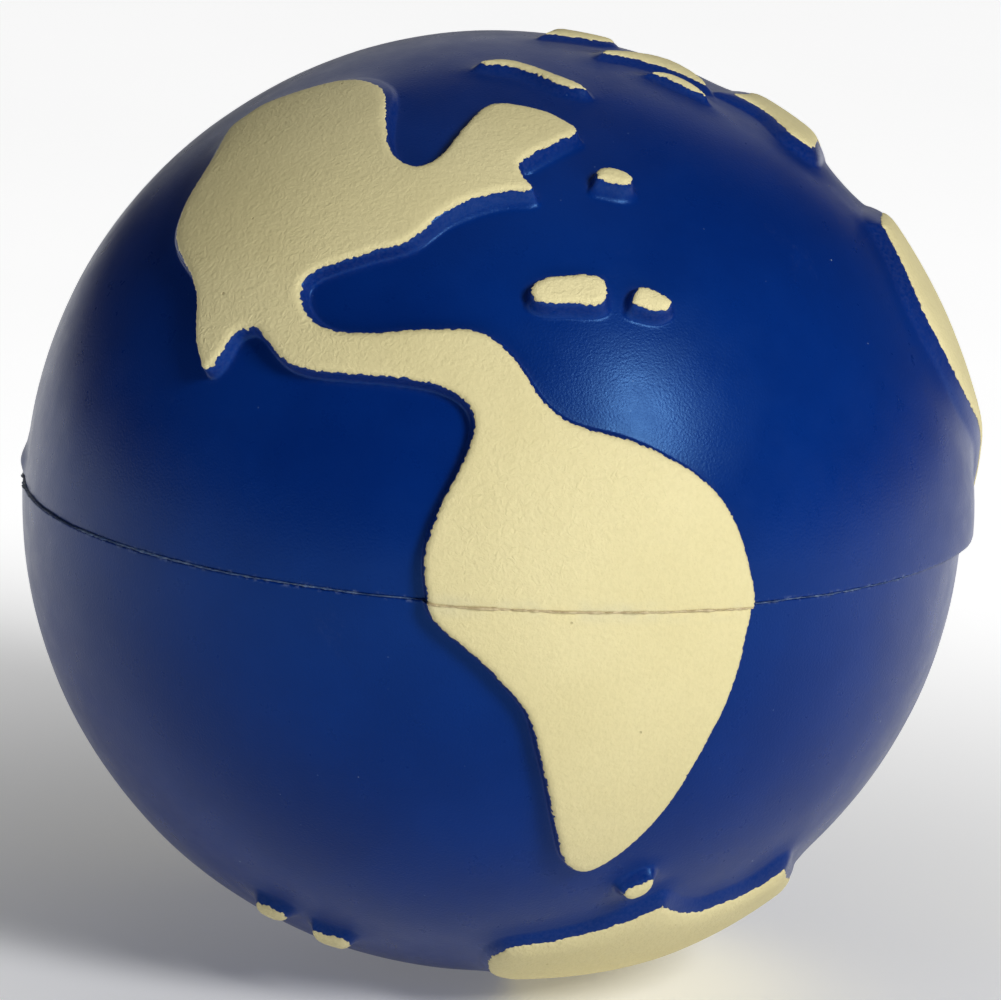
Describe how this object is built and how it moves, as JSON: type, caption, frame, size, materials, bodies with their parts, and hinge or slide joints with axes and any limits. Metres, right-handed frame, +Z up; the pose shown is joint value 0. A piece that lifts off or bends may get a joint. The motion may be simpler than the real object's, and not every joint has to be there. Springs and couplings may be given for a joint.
{
  "type": "stress ball",
  "caption": "Soft foam stress ball moulded as a small globe, with raised painted land, that squeezes flat and springs back.",
  "frame": {"origin": "centre of the ball, on the parting plane between the two moulded halves", "axes": "+Z up the polar axis to the north pole; the side with the Americas faces -Y; east is towards +X there"},
  "size_m": [0.0693, 0.0704, 0.0705],
  "materials": {
    "blue_skin": "satin",
    "cream_coat": "matte",
    "soft_foam": "matte"
  },
  "bodies": {
    "lower_half": {"coat_africa_south": "cream_coat", "coat_americas_south": "cream_coat", "coat_antarctica": "cream_coat", "coat_australia": "cream_coat", "coat_falklands": "cream_coat", "coat_java": "cream_coat", "coat_madagascar": "cream_coat", "coat_new_guinea": "cream_coat", "coat_new_zealand": "cream_coat", "coat_south_pacific_east": "cream_coat", "coat_south_pacific_west": "cream_coat", "foam_core_south": "soft_foam", "parting_flash": "blue_skin", "skin_south": "blue_skin"},
    "upper_half": {"foam_core_north": "soft_foam", "skin_north": "blue_skin", "coat_africa_north": "cream_coat", "coat_americas_north": "cream_coat", "coat_arctic_canada": "cream_coat", "coat_borneo": "cream_coat", "coat_caribbean_east": "cream_coat", "coat_caribbean_west": "cream_coat", "coat_eurasia": "cream_coat", "coat_greenland": "cream_coat", "coat_iceland": "cream_coat", "coat_japan": "cream_coat", "coat_newfoundland": "cream_coat", "coat_pacific_island": "cream_coat", "coat_philippines": "cream_coat", "coat_polar_island": "cream_coat"}
  },
  "joints": [
    {"name": "squeeze", "type": "slide", "parent": "lower_half", "child": "upper_half", "axis": [0, 0, -1], "range_m": [0, 0.02], "stiffness_N_per_m": 2500, "deforming": ["coat_africa_south", "coat_americas_south", "coat_antarctica", "coat_australia", "coat_falklands", "coat_java", "coat_madagascar", "coat_new_guinea", "coat_new_zealand", "coat_south_pacific_east", "coat_south_pacific_west", "foam_core_south", "parting_flash", "skin_south", "foam_core_north", "skin_north", "coat_africa_north", "coat_americas_north", "coat_arctic_canada", "coat_borneo", "coat_caribbean_east", "coat_caribbean_west", "coat_eurasia", "coat_greenland", "coat_iceland", "coat_japan", "coat_newfoundland", "coat_pacific_island", "coat_philippines", "coat_polar_island"]}
  ]
}
